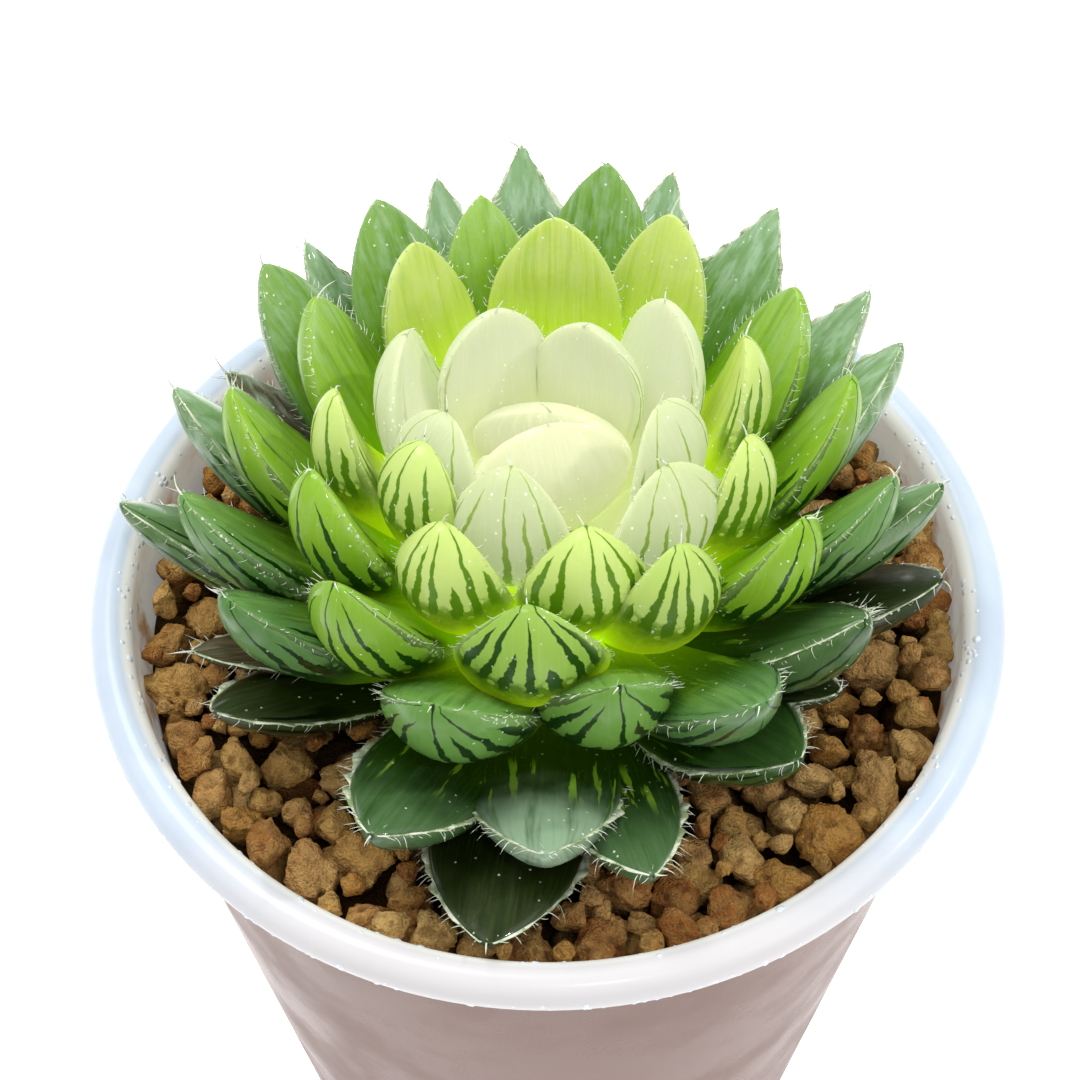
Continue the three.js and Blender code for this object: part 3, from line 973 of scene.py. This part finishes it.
LEAF_LOOKS = {
    "bud": dict(
        PLAIN, foot=both(190, 194, 150), body=both(182, 186, 140), window=both(180, 183, 136),
        line=both(206, 212, 140), inner=both(180, 182, 136), tip=both(172, 176, 128),
        streak=both(204, 206, 176), line_strength=0.1, painted_glow=0.4, subsurface=0.5, shade=0.3, wet=0.1,
        glow_ends=(0.3, 0.9), tip_glow=(234, 235, 216)),
    "cream": dict(
        PLAIN, foot=both(206, 214, 160), body=((186, 194, 150), (186, 192, 146)), band=0.25,
        window=((160, 172, 118), (172, 180, 140)), line=((136, 166, 26), (148, 176, 60)),
        inner=((178, 190, 140), (190, 193, 166)), tip=((166, 178, 126), (188, 191, 162)),
        streak=both(206, 212, 180), turn=(0.35, 0.65), window_length=0.46, line_width=0.15,
        line_strength=0.85, shade=0.2, streaks=0.2, wet=0.1, painted_glow=0.48, subsurface=0.5, frost=0.2,
        tip_glow=(194, 200, 172)),
    "lime": dict(
        PLAIN, foot=both(184, 214, 12), body=((152, 196, 6), (172, 206, 34)), band=0.75,
        window=((138, 176, 70), (194, 216, 120)), line=((26, 66, 6), (90, 132, 14)),
        inner=((156, 194, 40), (180, 202, 84)), tip=((150, 188, 60), (196, 214, 108)),
        streak=((176, 206, 116), (208, 224, 134)), turn=(0.15, 0.4), window_length=0.26,
        line_width=0.17, streaks=0.25, edge=0.6, painted_glow=0.5, glow_ends=(0.5, 0.84), frost=0.15),
    "green": dict(
        PLAIN, foot=both(168, 216, 2), body=((44, 92, 2), (104, 160, 8)), turn=(0.15, 0.45),
        window=((96, 140, 62), (132, 176, 40)), line=((14, 46, 6), (26, 68, 8)),
        inner=((72, 116, 22), (136, 178, 48)), tip=((98, 142, 66), (148, 186, 80)),
        streak=((138, 176, 104), (178, 208, 112)), foot_ends=(0.06, 0.46), streaks=0.2, edge=0.4,
        window_length=0.34, line_width=0.19, painted_glow=0.34, wet=0.5, frost=0.2),
    "far green": dict(
        PLAIN, foot=both(150, 206, 2), body=((34, 78, 2), (84, 138, 16)), turn=(0.1, 0.5),
        window=((74, 116, 58), (106, 148, 78)), line=((10, 38, 4), (20, 58, 10)),
        inner=((62, 106, 26), (114, 158, 44)), tip=((90, 132, 70), (124, 164, 78)),
        streak=((130, 168, 104), (166, 200, 132)), foot_ends=(0.06, 0.42), streaks=0.2, edge=0.4,
        window_length=0.34, line_width=0.18, flames=0.7, painted_glow=0.2, wet=0.8, frost=0.4),
    "outer": dict(
        PLAIN, foot=both(90, 142, 4), body=((20, 50, 1), (70, 118, 24)), turn=(0.25, 0.6),
        window=((46, 78, 30), (110, 146, 88)), line=((8, 30, 3), (24, 62, 14)),
        inner=((22, 54, 2), (96, 138, 58)), tip=((52, 86, 36), (134, 168, 120)),
        streak=((104, 142, 70), (176, 202, 160)), foot_ends=(0.04, 0.34),
        window_length=0.36, line_width=0.18, streaks=0.12, shade=0.3, flames=0.9, painted_glow=0.03,
        wet=1.0, frost=0.7),
    # The lowest leaves, under the rest: their dark colours are partly their own and partly painted shade.
    "low": dict(
        PLAIN, foot=both(46, 70, 2), body=both(24, 34, 2), window=both(44, 56, 26), line=both(8, 20, 2),
        inner=both(26, 36, 3), tip=both(46, 58, 28), streak=both(80, 96, 48), window_length=0.3,
        line_width=0.16, streaks=0.2, wet=1.0),
    "withered": dict(
        PLAIN, foot=both(60, 50, 22), body=both(54, 46, 22), window=both(76, 70, 46),
        line=both(40, 32, 14), inner=both(58, 52, 28), tip=both(96, 92, 68), streak=both(134, 126, 98),
        window_length=0.5, line_width=0.12, streaks=0.6, frost=0.5),
}


def leaf_skin(name, windows, looks):
    """A leaf's skin: its window group, mixed with the colours of its kind."""
    material, tree, shader = new_material(
        name, Roughness=looks["roughness"], Subsurface_Weight=looks["subsurface"], Subsurface_Scale=0.0025,
        Subsurface_Radius=(1.0, 1.0, 0.5), IOR=1.4, Specular_IOR_Level=0.2, Coat_Roughness=0.06)
    seen = place_group(tree, windows, Window_Length=looks["window_length"], Line_Width=looks["line_width"],
                       Band=looks["band"])
    along = seen["Along"]
    turn = mapped(tree, seen["Tone"], *looks["turn"])

    def pair(key):
        front, back = looks[key]
        return mixed(tree, turn, rgb(*front), rgb(*back))

    def share(label, key):
        return times(tree, seen[label], looks[key])

    body = mixed(tree, mapped(tree, along, *looks["foot_ends"]), pair("foot"), pair("body"))
    streak = pair("streak")
    outer = mixed(tree, seen["Window"], body, pair("window"))
    outer = mixed(tree, times(tree, share("Streaks", "streaks"), 0.6), outer, streak)
    outer = mixed(tree, share("Lines", "line_strength"), outer, pair("line"))
    inner = mixed(tree, mapped(tree, along, 0.5, 0.8), body, pair("inner"))
    inner = mixed(tree, seen["Tip"], inner, pair("tip"))
    inner = mixed(tree, share("Shade", "shade"), inner, mixed(tree, 0.3, body, pair("line")))
    inner = mixed(tree, share("Streaks", "streaks"), inner, streak)
    inner = mixed(tree, share("Flames", "flames"), inner, FLAME)
    colour = mixed(tree, seen["Inner Face"], outer, inner)
    colour = mixed(tree, share("Edge", "edge"), colour, streak)
    colour = mixed(tree, share("Frost", "frost"), colour, FROST)
    # Painted highlights: the drops' bumps are real, and their pale specks stand in for the glints on them
    colour = mixed(tree, share("Specks", "specks"), colour, DROP_HIGHLIGHT)
    rough = maths(tree, "MULTIPLY_ADD", seen["Skin"], 0.3, looks["roughness"] - 0.15, clamped=True)
    wet = times(tree, mapped(tree, seen["Patch"], 0.42, 0.58), mapped(tree, along, 0.6, 0.8))
    # Painted glow: emission from the foot's colour to the tip glow stands in for light passing through the
    # leaf and softens the shading of the pale leaves; the dark lines don't glow.
    painted_glow = mixed(tree, mapped(tree, along, *looks["glow_ends"]), pair("foot"), rgb(*looks["tip_glow"]))
    painted_glow = mixed(tree, share("Lines", "line_strength"), painted_glow, BLACK)
    fill_in(tree, shader, Base_Color=colour, Roughness=rough, Coat_Weight=times(tree, wet, looks["wet"]),
            Emission_Color=painted_glow, Emission_Strength=looks["painted_glow"])
    raised(tree, shader, plus(tree, times(tree, seen["Skin"], 0.8), seen["Specks"]), 0.4, 0.00012)
    return material


def mottled_finish(name, grain, spread, first, second, **values):
    """A finish in patches of two colours. Grain is the scale, detail and roughness of the patches."""
    material, tree, shader = new_material(name, **values)
    patch = mapped(tree, noise_at(tree, position(tree), *grain), *spread)
    fill_in(tree, shader, Base_Color=mixed(tree, patch, first, second))
    return material


def hair_finish():
    return mottled_finish("pale hairs and hems", (900, 3.0), (0.35, 0.7), rgb(214, 224, 196),
                          rgb(250, 251, 244), Roughness=0.45, IOR=1.45)


def paper_finish():
    return mottled_finish("papery skin", (700, 4.0, 0.7), (0.36, 0.62), rgb(134, 156, 108),
                          rgb(226, 232, 208), Roughness=0.5, IOR=1.4, Specular_IOR_Level=0.3)


def bark_finish():
    material, tree, shader = new_material("root crown", Roughness=0.9)
    grain = noise_at(tree, position(tree), 500, 4.0)
    fill_in(tree, shader, Base_Color=mixed(tree, grain, rgb(92, 70, 40), rgb(150, 128, 80)))
    return material


def clay_finish():
    """Granules from ochre to pinkish brown, with painted shade in their hollows and down in the gaps between
    them.
    """
    material, tree, shader = new_material("clay granules", Roughness=0.95, Specular_IOR_Level=0.05)
    tint, below, hollow = parts_of(tree, attribute(tree, "place"))
    spot = position(tree)
    shifted = plus(tree, tint, scaled(tree, noise_at(tree, spot, 260, 4.0), 0.5, -0.25))
    ramp = new_node(tree, "ValToRGB", Fac=shifted)
    stops = ((0.0, rgb(206, 150, 76)), (0.3, rgb(236, 190, 112)), (0.5, rgb(184, 120, 62)),
             (0.75, rgb(240, 198, 124)), (1.0, rgb(218, 166, 102)))
    while len(ramp.color_ramp.elements) < len(stops):
        ramp.color_ramp.elements.new(0.5)
    for element, (place, colour) in zip(ramp.color_ramp.elements, stops):
        element.position = place
        element.color = colour
    mottle = mapped(tree, noise_at(tree, spot, 800, 6.0, 0.7), 0.36, 0.54, 0.45, 0.0)
    colour = mixed(tree, mottle, ramp.outputs[0], rgb(112, 66, 36))
    # Painted shade in the hollows of each granule
    colour = mixed(tree, mapped(tree, hollow, 0.02, 0.12, 0.0, 0.4), colour, rgb(84, 46, 24))
    dust = mapped(tree, noise_at(tree, spot, 1700, 4.0, 0.7), 0.56, 0.7, 0.0, 0.55)
    colour = mixed(tree, dust, colour, rgb(232, 194, 138))
    # Painted shade: darker the deeper below the surface, down to near black in the gaps between granules
    colour = mixed(tree, mapped(tree, below, 1.5, 4.4, 0.0, 0.94), colour, rgb(34, 14, 4))
    fill_in(tree, shader, Base_Color=colour)
    grit = plus(tree, noise_at(tree, spot, 1100, 6.0, 0.75), noise_at(tree, spot, 4200, 2.0))
    raised(tree, shader, grit, 1.0, 0.0008)
    return material


def pot_finish():
    """Frosted plastic: white with a blue cast at the rim, mauve down the wall, with ochre stains on the inner
    wall and a patchy brownish line under the bead. Above the soil the inner wall is pale and glows: painted
    light that comes through the plastic.
    """
    material, tree, shader = new_material(
        "frosted plastic", Roughness=0.3, IOR=1.46, Specular_IOR_Level=0.06, Coat_Roughness=0.2)
    spot = position(tree)
    x, y, z = parts_of(tree, spot)
    rim = mapped(tree, z, (WALL_TOP - 1.2) * MM, (WALL_TOP + 0.6) * MM)
    cloud = noise_at(tree, spot, 45, 3.0)
    wall = mixed(tree, cloud, rgb(122, 98, 92), rgb(142, 117, 109))
    white = mixed(tree, noise_at(tree, spot, 160, 3.0), rgb(184, 199, 216), rgb(210, 221, 233))
    white = mixed(tree, mapped(tree, y, -36 * MM, -22 * MM, 0.8, 0.0), white, rgb(218, 212, 210))
    colour = mixed(tree, rim, wall, white)
    away = maths(tree, "SQRT", plus(tree, times(tree, x, x), times(tree, y, y)))
    taper = (wall_outer(WALL_TOP) - FOOT_RADIUS) / WALL_TOP
    upright = minus(tree, away, times(tree, z, taper))
    within = mapped(tree, upright, (FOOT_RADIUS - 0.8 * WALL) * MM, (FOOT_RADIUS - 0.3 * WALL) * MM, 1.0, 0.0)
    # Painted light on the inner wall above the soil: paler, and glowing in its own colour, as light comes
    # through the plastic
    inside = times(tree, within, mapped(tree, z, (SOIL_TOP - 6) * MM, (SOIL_TOP - 3) * MM))
    colour = mixed(tree, inside, colour, rgb(216, 216, 210))
    # Patchy ochre stains on the inner wall above the soil, and a patchy brownish line just under the bead
    patchiness = mapped(tree, noise_at(tree, spot, 120, 5.0, 0.6), 0.46, 0.64)
    near_bead = mapped(tree, off_zero(tree, minus(tree, z, (WALL_TOP + 0.1) * MM)), 0.1 * MM,
                       0.5 * MM, 0.8, 0.0)
    below = mapped(tree, z, (SOIL_TOP + 1) * MM, (WALL_TOP + 2.4) * MM, 1.0, 0.0)
    brownish_marks = times(tree, patchiness, larger(tree, near_bead, times(tree, below, within)))
    colour = mixed(tree, brownish_marks, colour, rgb(168, 128, 78))
    smudge = mapped(tree, noise_at(tree, spot, 75, 5.0, 0.6), 0.35, 0.7, 0.22, 0.42)
    fill_in(tree, shader, Base_Color=colour, Roughness=smudge, Coat_Weight=times(tree, rim, 0.4),
            Emission_Color=mixed(tree, inside, BLACK, colour), Emission_Strength=0.3)
    return material


def water_finish():
    material, tree, shader = new_material("water drops", IOR=1.5, Coat_Weight=0.5, Coat_Roughness=0.05)
    cloud = noise_at(tree, position(tree), 900)
    fill_in(tree, shader, Base_Color=mixed(tree, cloud, rgb(206, 218, 230), rgb(236, 242, 247)),
            Roughness=mapped(tree, cloud, 0.3, 0.7, 0.02, 0.15))
    return material


# Camera, light and floor

ELEVATION = 53.3103
ROLL = -0.6927
DISTANCE = 178.325
AIM = (-0.600, 3.304)
FIELD_OF_VIEW = 30.0


def make_camera():
    """The viewpoint that the rim's ellipse and the pot's wall were fitted to."""
    tilt = math.radians(ELEVATION)
    roll = math.radians(ROLL)
    look = Vector((0, math.cos(tilt), -math.sin(tilt)))
    level = Vector((1, 0, 0))
    up = Vector((0, math.sin(tilt), math.cos(tilt)))
    right = level * math.cos(roll) + up * math.sin(roll)
    top = up * math.cos(roll) - level * math.sin(roll)
    eye = Vector((AIM[0], AIM[1], RIM_Z)) - look * DISTANCE
    camera = put_in_scene("camera", bpy.data.cameras.new("camera"))
    camera.data.lens_unit = "FOV"
    camera.data.angle = math.radians(FIELD_OF_VIEW)
    camera.data.clip_start = 0.01
    camera.matrix_world = Matrix((
        (right.x, top.x, -look.x, eye.x * MM),
        (right.y, top.y, -look.y, eye.y * MM),
        (right.z, top.z, -look.z, eye.z * MM),
        (0, 0, 0, 1),
    ))
    bpy.context.scene.camera = camera


# Each light's name, place and size in metres, and power in watts

LIGHTS = [
    ("key", (-0.16, 0.16, 0.55), 0.30, 1.7),
    ("fill", (0.30, -0.22, 0.40), 0.22, 0.22),
    ("glint", (0.42, 0.02, 0.52), 0.03, 0.8),
    ("front glint", (0.06, -0.22, 0.56), 0.03, 0.25),
]
SKY_STRENGTH = 0.66
FLOOR_REACH = 30.0


def area_light(name, place, size, power):
    light = put_in_scene(name, bpy.data.lights.new(name, "AREA"))
    light.data.shape = "DISK"
    light.data.size = size
    light.data.energy = power
    light.location = place
    light.rotation_euler = (Vector((0, 0, RIM_Z * MM)) - Vector(place)).to_track_quat("-Z", "Y").to_euler()


def make_studio():
    world = bpy.data.worlds.new("studio")
    world.use_nodes = True
    sky = world.node_tree.nodes["Background"].inputs
    sky["Color"].default_value = (1.0, 1.0, 1.0, 1)
    sky["Strength"].default_value = SKY_STRENGTH
    bpy.context.scene.world = world
    for row in LIGHTS:
        area_light(*row)
    bpy.context.scene.view_settings.view_transform = "Standard"


def make_floor():
    mesh = bpy.data.meshes.new("floor")
    corners = [(x * FLOOR_REACH, y * FLOOR_REACH, 0) for x, y in ((-1, -1), (1, -1), (1, 1), (-1, 1))]
    mesh.from_pydata(corners, [], [(0, 1, 2, 3)])
    material, tree, shader = new_material("pale floor", Roughness=0.8)
    pale = mixed(tree, noise_at(tree, position(tree), 3), rgb(246, 246, 246), rgb(250, 250, 250))
    fill_in(tree, shader, Base_Color=pale, Emission_Color=pale, Emission_Strength=0.6)
    mesh.materials.append(material)
    floor = put_in_scene("floor", mesh)


# Assembly

make_camera()
make_studio()
make_floor()
windows = window_group()
skins = {kind: leaf_skin(f"{kind} leaf skin", windows, looks) for kind, looks in LEAF_LOOKS.items()}
hair = hair_finish()
paper = paper_finish()
make_leaves(skins, hair, paper)
make_bud(skins["bud"], hair)
make_stem(skins["withered"], hair, paper, bark_finish())
make_pot(pot_finish())
make_drops(water_finish())
make_soil(clay_finish())
